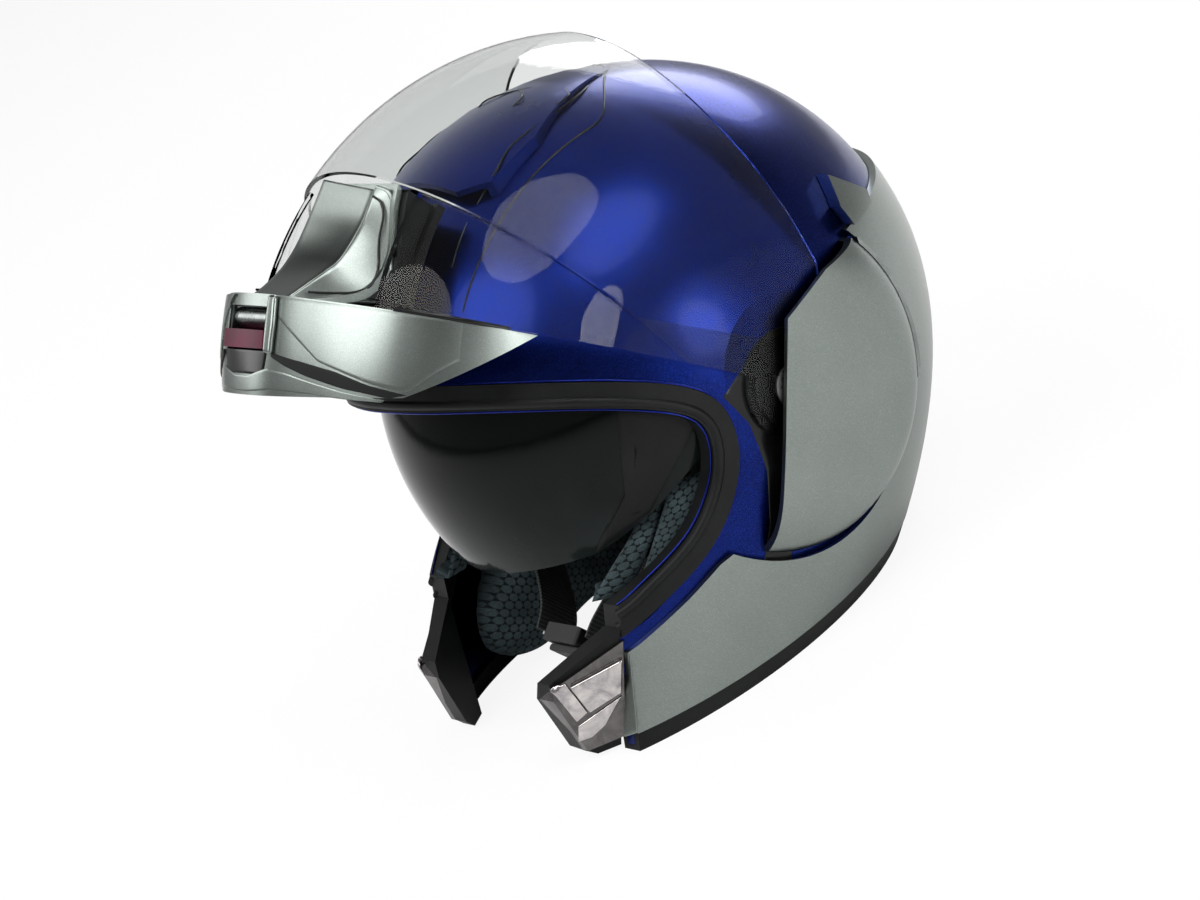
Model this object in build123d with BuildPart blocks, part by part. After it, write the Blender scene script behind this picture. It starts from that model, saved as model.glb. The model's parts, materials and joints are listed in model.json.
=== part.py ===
from build123d import *
import os
from math import cos, sin, radians

os.makedirs("parts", exist_ok=True)

# Modular helmet, chin bar and visor raised, sun visor lowered.
# The wearer faces -Y, the wearer's left is +X, and the rim stands on z = 0.
# The chin bar, the clear visor and the sun visor turn about axes along X.

# Shell: stacked ellipses up to the equator, half an ellipsoid above it
shell_half_width = 125
shell_stretch = 21.5
crown_rise = 139
pivot_height = 118
equator_above_pivot = 10
shell_behind_pivot = 4
base_forward_shift = 54
base_width_tuck = 22
base_length_tuck = 15
shell_wall = 4.5
side_flat_depth = 3.5

# Gaps and proud skins
fit_gap = 0.3
soft_gap = 0.6
panel_wall = 3.3
overrun = 160

# Silver lower shell and rim trim
panel_top = 41
trim_height = 8
trim_inside = 7.5
trim_floor = 2.5

# Side cover over the pivot
cover_proud = 6.4
cover_radius = 77
cover_rim_depth = 13.4
cover_skirt = 14
cover_wall = 2.6
rim_strip_width = 2
rim_strip_length = 8
fin_proud = 8
fin_depth = 30

# Pivot plate, stud and bolt
plate_radius = 26.5
plate_wall = 3.5
plate_step = 1.0
stud_radius = 8
stud_clearance = 0.1
bolt_radius = 10.5
bolt_head = 0.9
bolt_gap = 0.2
stud_proud = 5.4

# Eyeport seal
seal_half_band = 6
seal_proud = 1.3
seal_depth = 9

# Jaw end and latch horn
lock_plate_wall = 2.4
lock_plate_low = 6
lock_plate_lip = 5

# Foam liner and comfort pads
liner_gap = 0.4
head_clearance = 38
liner_floor = 46
crown_pad_wall = 8
crown_pad_floor = 150
cheek_depth = 68
cheek_crown = 9
neck_roll_low = 7
neck_roll_high = 30
neck_roll_wall = 20
neck_roll_crown = 8
neck_roll_front = 8

# Chin strap
strap_width = 22
strap_wall = 1.8
strap_slope = 35.4
buckle_length = 30
buckle_width = 26
buckle_wall = 9
buckle_round = 2
buckle_centre_height = 29
buckle_shift = 10
lever_wall = 3.5
lever_length = 26
lever_width = 18
tongue_width = 16
tongue_wall = 2
tongue_reach = 8

# Sun visor
sun_side_gap = 1.4
sun_crown_gap = 4.5
sun_wall = 2
sun_axis_forward = -4
sun_axis_above = 8
sun_pin_radius = 4
sun_pocket = 2.5
slider_length = 16
slider_height = 8
slider_proud = 3
slider_forward = 39
slider_above = 20

# Clear visor and the clear arms under it
hood_rise = 25.3
hood_forward = 27.8
hood_above = 8.1
visor_wall = 2
arm_wall = 2.2
visor_back = 42
visor_hub_radius = 20
arm_hub_radius = 24
visor_back_low = 40
crease_angle = 41.7
crease_start = 58
crease_length = 160
crease_lean = 21.3
arm_shoulder = 34
arm_spread = 20

# Chin bar, as raised: angles are measured up from straight ahead, about the pivot
nose_reach = 70.5
chin_tuck = 21
chin_wall = 3
chin_top_angle = 41.5
chin_bottom_angle = 29.3
centre_half_width = 42
tower_top_angle = 61.3
tower_foot_angle = 43.5
tower_wall = 4
tower_top_half_width = 31
tower_foot_half_width = 42
backing_wall = 4
backing_proud = 8
lip_room = 6.8
lip_wall = 3
lip_width = 5
lip_set_back = 0.5
foam_set_back = 0.3
vent_panel_wall = 1.6
vent_panel_inset = 7
vent_frame_wall = 0.8
vent_frame_inset = 4
panel_foot = 7
panel_head = 7
mouth_half_width = 19
mouth_low_angle = 34.6
mouth_high_angle = 40
duct_back = 9
duct_angle = 38.7
duct_radius = 5
duct_wall = 1.2
button_low_angle = 34.9
button_high_angle = 37.1
button_depth = 14
button_proud = 2
strip_wall = 2
strip_angle = 1.4
button_travel = 3

# Top vent
vent_front = 62
vent_back = 46
vent_half_width = 46
vent_tail_half_width = 20
vent_wall = 2.4
vent_tilt = 4
vent_mouth_half_width = 32
vent_shoulder = 50
vent_waist = 20
shutter_back = 6
shutter_wall = 1.6
shutter_depth = 18
shutter_half_width = 30

# Sizes that follow from these
shell_half_length = shell_half_width + shell_stretch
side_flat = shell_half_width - side_flat_depth
cover_half_width = shell_half_width + cover_proud
stud_top = side_flat + stud_proud
plate_top = side_flat - plate_step
plate_inner = plate_top - plate_wall
cheek_inner = shell_half_width - cheek_depth
sun_half_width = plate_inner - sun_side_gap
sun_radius = equator_above_pivot + crown_rise - shell_wall - sun_axis_above - sun_crown_gap
hood_half_width = stud_top - bolt_gap
hood_radius = shell_half_length + hood_rise
nose_radius = shell_half_length + nose_reach
chin_half_width = shell_half_width - chin_tuck

# Where the pivot stands over the middle of the whole footprint
front_reach = (nose_radius + fit_gap + strip_wall) * cos(radians(chin_bottom_angle))
rear_reach = shell_behind_pivot + shell_half_length + panel_wall + fit_gap
pivot_y = (front_reach - rear_reach) / 2
equator = pivot_height + equator_above_pivot

side_plane = Plane((0, pivot_y, pivot_height), x_dir=(0, 1, 0), z_dir=(1, 0, 0))
front_plane = Plane((0, pivot_y, pivot_height), x_dir=(1, 0, 0), z_dir=(0, -1, 0))
plan_plane = Plane((0, pivot_y, 0))


def polar(radius, angle, lift=0):
    """Side-view point at a radius and an angle up from straight ahead of the pivot, moved round by lift."""
    turn = radians(angle)
    return (-radius * cos(turn) + lift * sin(turn), radius * sin(turn) + lift * cos(turn))


def side_points(shares):
    """Side-view points from shares of the shell's half length and the pivot's height."""
    return [(y * shell_half_length, z * pivot_height) for y, z in shares]


def side_block(points, near=-overrun, far=overrun, curve=None):
    """Block with a side-view outline, from x = near to x = far."""
    with BuildPart() as block:
        with BuildSketch(side_plane.offset(near)):
            with BuildLine():
                if curve:
                    edge = Spline(*curve)
                    Polyline(edge @ 1, *points, edge @ 0)
                else:
                    Polyline(*points, close=True)
            make_face()
        extrude(amount=far - near)
    return block.part


def front_block(points, near=0, far=2 * overrun):
    """Block with a front-view outline, reaching forward of the pivot."""
    with BuildPart() as block:
        with BuildSketch(front_plane.offset(near)):
            with BuildLine():
                Polyline(*points, close=True)
            make_face()
        extrude(amount=far - near)
    return block.part


def level_block(low, high):
    """Everything between two heights."""
    with BuildPart() as block:
        with BuildSketch(plan_plane.offset(low)):
            Rectangle(4 * overrun, 4 * overrun)
        extrude(amount=high - low)
    return block.part


def egg(grow, flat=0):
    """Solid helmet form, grown all round, with its sides cut flat at x = flat if given."""
    with BuildPart() as dome:
        Sphere(1)
        split(bisect_by=Plane.XY, keep=Keep.TOP)
        scale(by=(shell_half_width + grow, shell_half_length + grow, crown_rise + grow))
    with BuildPart() as body:
        for level_share in (-0.06, 0.2, 0.45, 0.7, 0.88, 1.0):
            tuck_share = (1 - level_share) ** 2
            centre_y = pivot_y + shell_behind_pivot - base_forward_shift * tuck_share
            with BuildSketch(Plane((0, centre_y, equator * level_share))):
                Ellipse(
                    shell_half_width - base_width_tuck * tuck_share + grow,
                    shell_half_length - base_length_tuck * tuck_share + grow,
                )
        loft()
        with Locations((0, pivot_y + shell_behind_pivot, equator)):
            add(dome.part)
        if flat:
            with BuildSketch(side_plane.offset(-flat)):
                Rectangle(4 * overrun, 4 * overrun)
            extrude(amount=2 * flat, mode=Mode.INTERSECT)
    return body.part


def turned(profile, forward=0, above=0, curve=None):
    """Solid turned about an axis along X; the profile's points are (x, radius)."""
    centre = Vector(0, pivot_y - forward, pivot_height + above)
    with BuildPart() as body:
        with BuildSketch(Plane(centre, x_dir=(1, 0, 0), z_dir=(0, 1, 0))):
            with BuildLine():
                if curve:
                    edge = Spline(*curve)
                    Polyline(edge @ 1, *profile, edge @ 0)
                else:
                    Polyline(*profile, close=True)
            make_face()
        revolve(axis=Axis(centre, (1, 0, 0)))
    return body.part


def hood(shrink):
    """Solid form of the raised visor, turned about an axis ahead of the pivot."""
    half_width = hood_half_width - shrink
    radius = hood_radius - shrink
    side_shares = (
        (1.0, 0), (0.997, 0.2), (0.983, 0.35), (0.93, 0.524), (0.767, 0.718), (0.459, 0.91), (0, 1.0),
    )
    curve = [(x * half_width, r * radius) for x, r in side_shares]
    mirrored = [(-x, r) for x, r in reversed(curve[:-1])]
    return turned([], hood_forward, hood_above, curve=curve + mirrored)


def sun_form(shrink):
    """Solid form that the sun visor is a skin of."""
    half_width = sun_half_width - shrink
    radius = sun_radius - shrink
    side_shares = ((1.0, 0), (0.985, 0.17), (0.9, 0.42), (0.72, 0.69), (0.4, 0.915), (0, 1.0))
    curve = [(x * half_width, r * radius) for x, r in side_shares]
    mirrored = [(-x, r) for x, r in reversed(curve[:-1])]
    return turned([], sun_axis_forward, sun_axis_above, curve=curve + mirrored)


def rod(radius, near, far, forward=0, above=0):
    """Round bar along X between two x values."""
    with BuildPart() as bar:
        with BuildSketch(side_plane.offset(near)):
            with Locations((-forward, above)):
                Circle(radius)
        extrude(amount=far - near)
    return bar.part


def finish(part, name):
    """Label a piece and write its file."""
    part.label = name
    export_step(part, f"parts/{name}.step")


def write_pair(left, name):
    """Write a left piece and its mirror image on the right."""
    with BuildPart() as right:
        mirror(left, about=Plane.YZ)
    finish(left, f"{name}_left")
    finish(right.part, f"{name}_right")


# Outlines shared by several pieces
port_shares = (
    (-1.45, 0.76), (-1.1, 0.66), (-0.867, 0.559), (-0.648, 0.432), (-0.478, 0.314), (-0.341, 0.19),
    (-0.283, 0.085), (-0.283, -0.04), (-0.341, -0.19), (-0.464, -0.339), (-0.648, -0.45),
    (-0.765, -0.505), (-1.1, -0.6), (-1.45, -0.68),
)
jaw_front_shares = ((-0.745, -0.42), (-0.925, -1.06), (-1.9, -1.06), (-1.9, -0.42))
panel_top_shares = (
    (-0.92, -0.66), (-0.765, -0.61), (-0.587, -0.53), (-0.464, -0.466), (-0.368, -0.444), (-0.2, -0.46),
)
port_curve = side_points(port_shares)
jaw_front = side_points(jaw_front_shares)

form_outer = egg(0, side_flat)
form_inner = egg(-shell_wall, side_flat - shell_wall)
jaw_front_block = side_block(jaw_front)


def port_band(grow):
    """The eyeport's outline moved outwards by grow, as a block."""
    last = len(port_curve) - 1
    moved = []
    for index, (y, z) in enumerate(port_curve):
        before_y, before_z = port_curve[max(index - 1, 0)]
        after_y, after_z = port_curve[min(index + 1, last)]
        run_y, run_z = after_y - before_y, after_z - before_z
        reach = grow / (run_y * run_y + run_z * run_z) ** 0.5
        moved.append((y - run_z * reach, z + run_y * reach))
    return side_block([], curve=moved)


# Shell: one thin moulding with the face opening and the pivot plates' seats
with BuildPart() as shell:
    add(form_outer)
    add(form_inner, mode=Mode.SUBTRACT)
    add(port_band(seal_half_band + fit_gap), mode=Mode.SUBTRACT)
    add(jaw_front_block, mode=Mode.SUBTRACT)
    add(level_block(-overrun, trim_floor), mode=Mode.SUBTRACT)
    add(rod(plate_radius + fit_gap, -overrun, overrun), mode=Mode.SUBTRACT)
finish(shell.part, "shell")

# Lower shell: silver skin over the jaw, the sides behind the covers and the back
with BuildPart() as lower_shell:
    add(egg(fit_gap + panel_wall))
    add(egg(fit_gap), mode=Mode.SUBTRACT)
    panel_top_line = side_points(panel_top_shares)
    jaw_reach = shell_half_length * 1.3
    with BuildSketch(side_plane):
        with BuildLine():
            Polyline(
                (-jaw_reach, panel_top_line[0][1]), *panel_top_line, (0, panel_top),
                (2 * overrun, panel_top), (2 * overrun, trim_height - pivot_height),
                (-jaw_reach, trim_height - pivot_height), close=True,
            )
        make_face()
    extrude(amount=overrun, both=True, mode=Mode.INTERSECT)
    add(jaw_front_block, mode=Mode.SUBTRACT)
    add(rod(cover_radius + 2 * rim_strip_width, -overrun, overrun), mode=Mode.SUBTRACT)
finish(lower_shell.part, "lower_shell")

# Rim trim: black channel that closes the bottom edge, the face that the helmet rests on
with BuildPart() as edge_slot:
    add(egg(fit_gap))
    add(egg(-shell_wall - fit_gap), mode=Mode.SUBTRACT)
    add(level_block(trim_floor - fit_gap, overrun), mode=Mode.INTERSECT)
with BuildPart() as bottom_trim:
    add(egg(panel_wall))
    add(egg(-trim_inside), mode=Mode.SUBTRACT)
    add(level_block(0, trim_height - fit_gap), mode=Mode.INTERSECT)
    add(jaw_front_block, mode=Mode.SUBTRACT)
    add(edge_slot.part, mode=Mode.SUBTRACT)
finish(bottom_trim.part, "bottom_trim")

# Eyeport seal: rubber ring set in the face opening
with BuildPart() as eyeport_seal:
    add(egg(seal_proud, side_flat))
    add(egg(-seal_depth, side_flat - seal_depth), mode=Mode.SUBTRACT)
    add(port_band(seal_half_band), mode=Mode.INTERSECT)
    add(port_band(-seal_half_band), mode=Mode.SUBTRACT)
    add(jaw_front_block, mode=Mode.SUBTRACT)
finish(eyeport_seal.part, "eyeport_seal")

# Side cover: crowned disc with a straight front edge, closing the pivot's works
cover_profile_shares = ((1.0, 0), (0.999, 0.3), (0.993, 0.62), (0.981, 0.78), (0.95, 0.91), (0.898, 1.0))


def cover_form(wall):
    """The cover's crowned form, made smaller all round by wall."""
    curve = [(x * cover_half_width - wall, r * (cover_radius - wall)) for x, r in cover_profile_shares]
    rim_x = cover_half_width - cover_rim_depth - cover_skirt - wall
    return turned([(rim_x, curve[-1][1]), (rim_x, 0)], curve=curve)


cover_outline_shares = ((0.065, 0.254), (0.27, 0.322), (0.82, 0.339), (0.82, -1.02), (-0.553, -1.02))
with BuildPart() as side_cover:
    add(cover_form(0))
    add(cover_form(cover_wall), mode=Mode.SUBTRACT)
    add(side_block(side_points(cover_outline_shares), near=0), mode=Mode.INTERSECT)
    add(form_outer, mode=Mode.SUBTRACT)
write_pair(side_cover.part, "side_cover")

# Rim strip: bright band let in round the cover's back edge
strip_near = cover_half_width - cover_rim_depth - rim_strip_length
rim_strip_shares = ((0.48, 0.34), (0.75, 0.32), (0.75, -0.32), (0.4, -0.32))
with BuildPart() as rim_strip:
    add(rod(cover_radius + fit_gap + rim_strip_width, strip_near, strip_near + rim_strip_length))
    add(rod(cover_radius + fit_gap, strip_near, strip_near + rim_strip_length), mode=Mode.SUBTRACT)
    add(side_block(side_points(rim_strip_shares), near=0), mode=Mode.INTERSECT)
    add(form_outer, mode=Mode.SUBTRACT)
write_pair(rim_strip.part, "cover_rim_strip")

# Fin: small wedge on the shell behind the cover's top corner
fin_shares = ((0.5, 0.353), (0.64, 0.353), (0.66, 0.4), (0.53, 0.56), (0.49, 0.44))
with BuildPart() as fin:
    add(egg(fin_proud))
    add(egg(fit_gap), mode=Mode.SUBTRACT)
    add(side_block(side_points(fin_shares), near=fin_depth), mode=Mode.INTERSECT)
write_pair(fin.part, "shell_fin")

# Pivot plate: disc in the shell's side with the stud that the visor and chin bar turn on
with BuildPart() as pivot_plate:
    add(rod(plate_radius, plate_inner, plate_top))
    add(rod(stud_radius, plate_top, stud_top))
    add(rod(sun_pin_radius, sun_half_width - 2 * sun_wall, plate_inner, sun_axis_forward, sun_axis_above))
write_pair(pivot_plate.part, "pivot_plate")

with BuildPart() as pivot_bolt:
    with BuildSketch(side_plane.offset(stud_top)):
        Circle(bolt_radius)
        RegularPolygon(stud_radius / 2, 6, mode=Mode.SUBTRACT)
    extrude(amount=bolt_head)
write_pair(pivot_bolt.part, "pivot_bolt")

# Latch horn: black jaw end, and the bright lock plate on its face
horn_front_shares = ((-1.0, -0.64), (-1.02, -0.7), (-1.0, -0.94), (-0.97, -0.987))
horn_side = side_points(horn_front_shares)
horn_inner_shares = ((0.576, -0.56), (0.576, -0.765), (0.356, -1.024))
horn_outer_shares = ((0.472, -1.024), (0.704, -0.765), (0.704, -0.56))
horn_top_share = -0.53
jaw_slope = (jaw_front[1][0] - jaw_front[0][0]) / (jaw_front[1][1] - jaw_front[0][1])
horn_back = [
    (jaw_front[0][0] + jaw_slope * (z - jaw_front[0][1]) - fit_gap, z)
    for z in (horn_side[-1][1], horn_top_share * pivot_height)
]


def horn_plan(inset):
    """Block over the horn's plan outline, with its outer side moved in by inset."""
    inner = [(x * shell_half_width, y * shell_half_length) for x, y in horn_inner_shares]
    outer = [(x * shell_half_width - inset, y * shell_half_length) for x, y in horn_outer_shares]
    outer[0] = (outer[0][0], outer[0][1] + inset)
    with BuildPart() as block:
        with BuildSketch(plan_plane):
            with BuildLine():
                Polyline(*inner, *outer, close=True)
            make_face()
        extrude(amount=pivot_height)
    return block.part


with BuildPart() as lock_zone:
    low = lock_plate_low - pivot_height
    high = horn_back[1][1] - lock_plate_lip
    front_high = horn_side[0][1] - lock_plate_lip
    zone_back = horn_back[1][0]
    add(side_block([(-overrun, low), (zone_back, low), (zone_back, high), (-overrun, front_high)]))
horn_block = side_block([*horn_side, *horn_back])
with BuildPart() as horn_core:
    add(horn_plan(lock_plate_wall))
    add(horn_block, mode=Mode.INTERSECT)
with BuildPart() as lock_plate:
    add(horn_plan(0))
    add(horn_block, mode=Mode.INTERSECT)
    add(lock_zone.part, mode=Mode.INTERSECT)
    add(horn_plan(lock_plate_wall), mode=Mode.SUBTRACT)
write_pair(horn_core.part, "jaw_horn")
write_pair(lock_plate.part, "lock_plate")

# Sun visor: smoked skin between the shell and the foam, with hubs on the pivot plates' pins
sun_shares = (
    (-1.2, 0.68), (-0.2, 0.66), (0.0, 0.2), (0.1, 0.05), (0.04, -0.05), (-0.1, -0.06), (-0.34, -0.09),
    (-0.5, -0.2), (-0.66, -0.29), (-0.82, -0.3), (-0.9, -0.27), (-1.2, -0.25),
)
with BuildPart() as sun_visor:
    add(sun_form(0))
    add(sun_form(sun_wall), mode=Mode.SUBTRACT)
    add(side_block(side_points(sun_shares)), mode=Mode.INTERSECT)
    add(
        rod(sun_pin_radius + stud_clearance, -overrun, overrun, sun_axis_forward, sun_axis_above),
        mode=Mode.SUBTRACT,
    )
finish(sun_visor.part, "sun_visor")

# Foam liner: thick shell with the head's hollow, the face opening and the sun visor's pocket
liner_face_shares = (
    (-1.9, 0.6), (-0.62, 0.53), (-0.44, 0.36), (-0.33, 0.1), (-0.36, -0.25), (-0.3, -0.5), (-0.3, -1.2),
    (-1.9, -1.2),
)
sun_sweep_shares = (
    (0.07, -0.1), (0.16, 0.07), (0.28, 0.5), (0.3, 1.4), (-1.9, 1.4), (-1.9, -0.6), (-0.4, -0.5),
)
with BuildPart() as sun_space:
    add(side_block(side_points(sun_sweep_shares)))
    add(sun_form(sun_wall + sun_pocket), mode=Mode.SUBTRACT)
with BuildPart() as impact_liner:
    add(egg(-shell_wall - liner_gap, plate_inner - liner_gap))
    add(sun_space.part, mode=Mode.SUBTRACT)
    add(side_block(side_points(liner_face_shares)), mode=Mode.SUBTRACT)
    add(level_block(-overrun, liner_floor), mode=Mode.SUBTRACT)
    add(egg(-head_clearance), mode=Mode.SUBTRACT)
finish(impact_liner.part, "impact_liner")

# Crown pad: comfort lining against the head
with BuildPart() as crown_pad:
    add(egg(-head_clearance - soft_gap))
    add(egg(-head_clearance - crown_pad_wall), mode=Mode.SUBTRACT)
    add(side_block(side_points(liner_face_shares)), mode=Mode.SUBTRACT)
    add(level_block(-overrun, crown_pad_floor), mode=Mode.SUBTRACT)
finish(crown_pad.part, "crown_pad")

# Neck roll: padded band round the nape, crowned towards the neck
with BuildPart() as nape_hollow:
    for height_share, crown_share in ((-0.1, 0), (0.25, 0.8), (0.5, 1), (0.75, 0.8), (1.1, 0)):
        height = neck_roll_low + (neck_roll_high - neck_roll_low) * height_share
        tuck_share = (1 - height / equator) ** 2
        centre_y = pivot_y + shell_behind_pivot - base_forward_shift * tuck_share
        inset = neck_roll_wall - neck_roll_crown + neck_roll_crown * crown_share
        with BuildSketch(Plane((0, centre_y, height))):
            Ellipse(
                shell_half_width - base_width_tuck * tuck_share - inset,
                shell_half_length - base_length_tuck * tuck_share - inset,
            )
    loft()
roll_gap = trim_inside + soft_gap
with BuildPart() as neck_roll:
    add(egg(-roll_gap))
    add(nape_hollow.part, mode=Mode.SUBTRACT)
    add(level_block(neck_roll_low, neck_roll_high), mode=Mode.INTERSECT)
    with BuildSketch(side_plane):
        with Locations((neck_roll_front + overrun, 0)):
            Rectangle(2 * overrun, 4 * overrun)
    extrude(amount=overrun, both=True, mode=Mode.INTERSECT)
finish(neck_roll.part, "neck_roll")

# Chin strap: a webbing band on each side, falling forward to the buckle under the chin
strap_front_share = 0.676
strap_line_shares = ((0.864, 0.593), (0.64, 0.508), (0.272, 0.254))
strap_plane = Plane(
    (0, pivot_y - strap_front_share * shell_half_length, buckle_centre_height),
    x_dir=(1, 0, 0),
    z_dir=(0, -sin(radians(strap_slope)), cos(radians(strap_slope))),
)


def strap_band(points, wall, width):
    """Webbing band through points in the strap's slanted plane."""
    with BuildPart() as band:
        with BuildSketch(strap_plane.offset(-width / 2)):
            with BuildLine() as path:
                Polyline(*points)
            trace(path.line, line_width=wall)
        extrude(amount=width)
    return band.part


def strap_bar(low_x, high_x, low_s, high_s, width):
    """Block in the strap's slanted plane."""
    with BuildPart() as bar:
        with BuildSketch(strap_plane.offset(-width / 2)):
            with BuildLine():
                Polyline((low_x, low_s), (high_x, low_s), (high_x, high_s), (low_x, high_s), close=True)
            make_face()
        extrude(amount=width)
    return bar.part


strap_line = [(x * shell_half_width, s * pivot_height) for x, s in strap_line_shares]
buckle_left = buckle_shift + buckle_length / 2
buckle_right = buckle_shift - buckle_length / 2
strap_left = strap_band([*strap_line, (buckle_left + strap_wall, 0)], strap_wall, strap_width)
strap_right_line = [(-x, s) for x, s in strap_line]
tongue_end = buckle_right - tongue_reach
strap_right = strap_band([*strap_right_line, (tongue_end - strap_wall, 0)], strap_wall, strap_width)
strap_slot = strap_band(strap_line, strap_wall + 2 * soft_gap, strap_width + 2 * soft_gap)
finish((strap_left - impact_liner.part).solids().sort_by(SortBy.VOLUME)[-1], "strap_left")
finish((strap_right - impact_liner.part).solids().sort_by(SortBy.VOLUME)[-1], "strap_right")

# Buckle: body on the left strap, toothed tongue on the right one, and the lever under it
half_wall = buckle_wall / 2
with BuildPart() as buckle_body:
    add(strap_bar(buckle_right, buckle_left, -half_wall, half_wall, buckle_width))
    fillet(buckle_body.edges().filter_by(Axis.X, reverse=True), buckle_round)
    slot_width = tongue_width + 2 * soft_gap
    slot_end = buckle_left - tongue_reach
    add(strap_bar(-overrun, slot_end, -tongue_wall, tongue_wall, slot_width), mode=Mode.SUBTRACT)
finish(buckle_body.part, "buckle_body")
tongue_half = tongue_wall / 2
finish(strap_bar(tongue_end, buckle_shift, -tongue_half, tongue_half, tongue_width), "buckle_tongue")
with BuildPart() as buckle_lever:
    with BuildSketch(strap_plane.offset(-lever_width / 2)):
        with Locations((buckle_left - lever_length / 2, -half_wall - fit_gap - lever_wall / 2)):
            SlotOverall(lever_length, lever_wall)
    extrude(amount=lever_width)
finish(buckle_lever.part, "buckle_lever")


cheek_shares = (
    (-0.69, -0.9), (-0.73, -0.8), (-0.68, -0.66), (-0.5, -0.5), (-0.3, -0.25), (-0.1, -0.1), (0.0, -0.25),
    (0.02, -0.6), (-0.05, -0.85), (-0.35, -0.93),
)


def cheek_outline(scale_share):
    """The cheek pad's outline drawn in towards its middle."""
    points = side_points(cheek_shares)
    middle_y = sum(y for y, z in points) / len(points)
    middle_z = sum(z for y, z in points) / len(points)
    return [
        (middle_y + (y - middle_y) * scale_share, middle_z + (z - middle_z) * scale_share) for y, z in points
    ]


# Cheek pad: crowned cushion on each side, slotted for the chin strap
with BuildPart() as cheek_crown_form:
    for step_share, scale_share in ((0, 0.72), (0.35, 0.9), (1.2, 1.0), (3, 1.0), (6, 0.96)):
        with BuildSketch(side_plane.offset(cheek_inner + cheek_crown * step_share)):
            with BuildLine():
                Spline(*cheek_outline(scale_share), periodic=True)
            make_face()
    loft()
with BuildPart() as cheek_pad:
    add(cheek_crown_form.part)
    add(egg(-trim_inside - soft_gap), mode=Mode.INTERSECT)
    add(impact_liner.part, mode=Mode.SUBTRACT)
    add(egg(-seal_depth - soft_gap), mode=Mode.INTERSECT)
    add(strap_slot, mode=Mode.SUBTRACT)
write_pair(cheek_pad.part.solids().sort_by(SortBy.VOLUME)[-1], "cheek_pad")

# Clear visor: a skin with a straight lower crease and a straight back edge
tip = polar(crease_start, crease_angle)
lean_y = -sin(radians(crease_lean))
lean_z = cos(radians(crease_lean))
crease_top = (tip[0] + lean_y * crease_length, tip[1] + lean_z * crease_length)
visor_outline = [
    tip, crease_top, (visor_back, crease_top[1]), (visor_back, visor_back_low),
    (visor_hub_radius, 0), (0, 0), polar(visor_hub_radius, crease_angle),
]
stud_hole = rod(stud_radius + stud_clearance, -overrun, overrun)
with BuildPart() as visor:
    add(hood(0))
    add(hood(visor_wall), mode=Mode.SUBTRACT)
    add(side_block(visor_outline) + rod(visor_hub_radius, -overrun, overrun), mode=Mode.INTERSECT)
    add(stud_hole, mode=Mode.SUBTRACT)
finish(visor.part, "visor")

# Chin bar: a bowed band, with the vent tower rising from its middle
chin_shares = (
    (1.0, 0.48), (0.985, 0.58), (0.885, 0.73), (0.75, 0.825), (0.577, 0.897), (0.385, 0.95), (0.19, 0.99),
    (0, 1.0),
)
tower_waist_share = 0.785
tower_shares = (
    (0.82, tower_top_angle), (0.79, 54), (tower_waist_share, 48.5), (0.81, 45), (0.865, 43), (0.93, 41.7), (0.988, 40.8),
)


def chin_form(shrink):
    """Solid form of the chin bar's outside, turned about the pivot."""
    half_width = chin_half_width - shrink
    radius = nose_radius - shrink
    curve = [(x * half_width, r * radius) for x, r in chin_shares]
    mirrored = [(-x, r) for x, r in reversed(curve[:-1])]
    return turned([(-half_width, 0), (half_width, 0)], curve=curve + mirrored)


def sector(low_angle, high_angle, half_width=overrun):
    """Wedge between two angles about the pivot."""
    reach = 2 * overrun
    return side_block([(0, 0), polar(reach, low_angle), polar(reach, high_angle)], -half_width, half_width)


def tower_skin(low, high, points_used=None):
    """Skin that follows the tower's face in side view, between two heights over it."""
    points = [polar(nose_radius * r, angle) for r, angle in tower_shares[:points_used]]
    with BuildPart() as skin:
        with BuildSketch(side_plane.offset(-overrun)):
            with BuildLine():
                front_edge = Spline(*[(y, z + high) for y, z in points])
                back_edge = Spline(*[(y, z + low) for y, z in points])
                Line(front_edge @ 0, back_edge @ 0)
                Line(front_edge @ 1, back_edge @ 1)
            make_face()
        extrude(amount=2 * overrun)
    return skin.part


tower_foot_share = 0.797
tower_top_z = nose_radius * tower_shares[0][0] * sin(radians(tower_top_angle))
tower_foot_z = nose_radius * tower_foot_share * sin(radians(tower_foot_angle))
tower_taper = (tower_foot_half_width - tower_top_half_width) / (tower_top_z - tower_foot_z)


def tower_block(grow, foot=0, head=0):
    """Block over the tower's front-view outline, grown sideways, starting foot above its base."""
    low_z = tower_foot_z + foot if foot else 0
    low_x = tower_foot_half_width - tower_taper * foot + grow
    high_z = tower_top_z - head
    high_x = tower_top_half_width + tower_taper * head + grow
    return front_block([(-low_x, low_z), (low_x, low_z), (high_x, high_z), (-high_x, high_z)])


wing_tip_share = 0.576
wing_low_share = 0.82
wing_low_radius = nose_radius * wing_low_share
wing_outline = [
    polar(nose_radius * wing_tip_share, chin_top_angle), polar(2 * overrun, chin_top_angle),
    polar(2 * overrun, chin_bottom_angle), polar(wing_low_radius, chin_bottom_angle),
]
mouth = sector(mouth_low_angle, mouth_high_angle, mouth_half_width)
with BuildPart() as tower:
    add(tower_skin(-tower_wall, 0))
    add(tower_block(0), mode=Mode.INTERSECT)
    add(chin_form(0), mode=Mode.INTERSECT)
with BuildPart() as chin_bar:
    add(chin_form(0))
    add(chin_form(chin_wall), mode=Mode.SUBTRACT)
    add(side_block(wing_outline), mode=Mode.INTERSECT)
    add(tower.part)
    add(mouth, mode=Mode.SUBTRACT)
finish(chin_bar.part, "chin_bar")

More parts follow.
